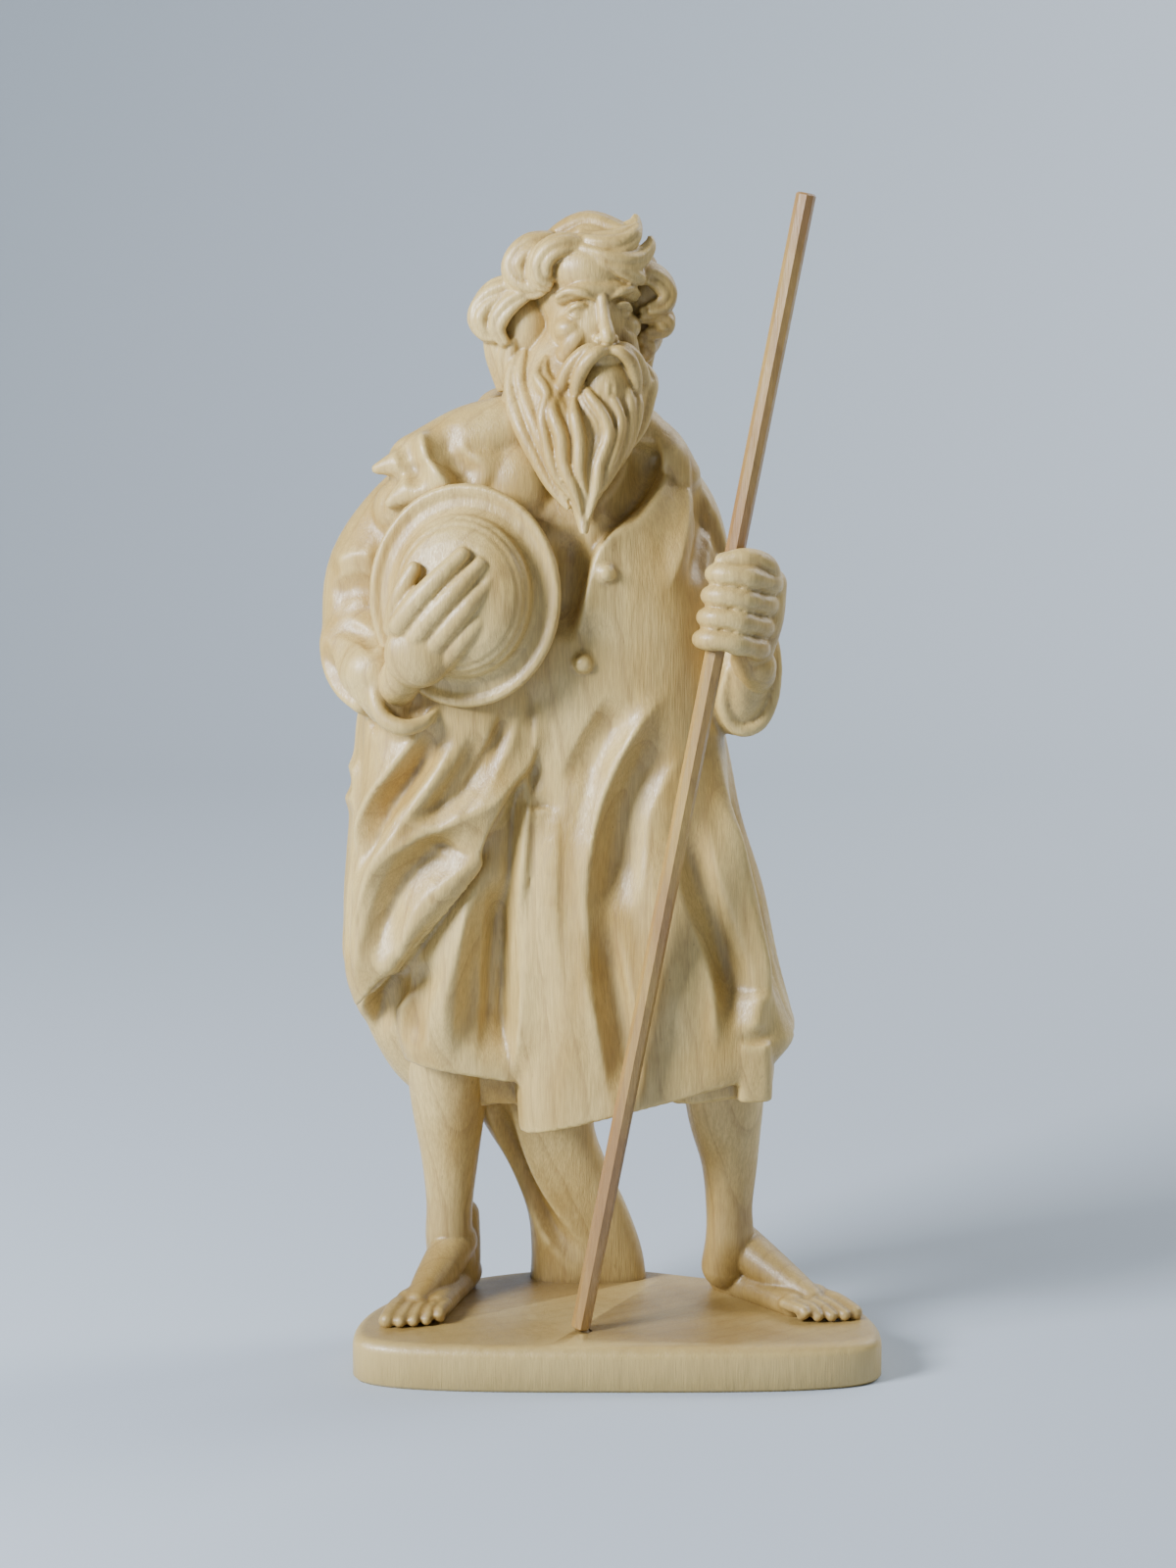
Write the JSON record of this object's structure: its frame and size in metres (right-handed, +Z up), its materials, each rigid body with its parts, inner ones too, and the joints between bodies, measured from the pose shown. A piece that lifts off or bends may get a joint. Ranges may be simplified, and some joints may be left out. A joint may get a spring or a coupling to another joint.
{
  "type": "carved wooden shepherd figurine",
  "caption": "Carved wooden nativity shepherd, bearded and barefoot, holding a hat to the chest and a thin staff, standing on an oval base.",
  "frame": {"origin": "centre of the base's flat underside", "axes": "+Z up, the figure facing -Y, the staff at +X"},
  "size_m": [0.0728, 0.0377, 0.1519],
  "materials": {
    "maple": "carved pale maple, oiled to a soft satin",
    "maple_stick": "planed stick, satin"
  },
  "bodies": {
    "root": {"carved_figure": "maple", "staff": "maple_stick"}
  },
  "joints": []
}
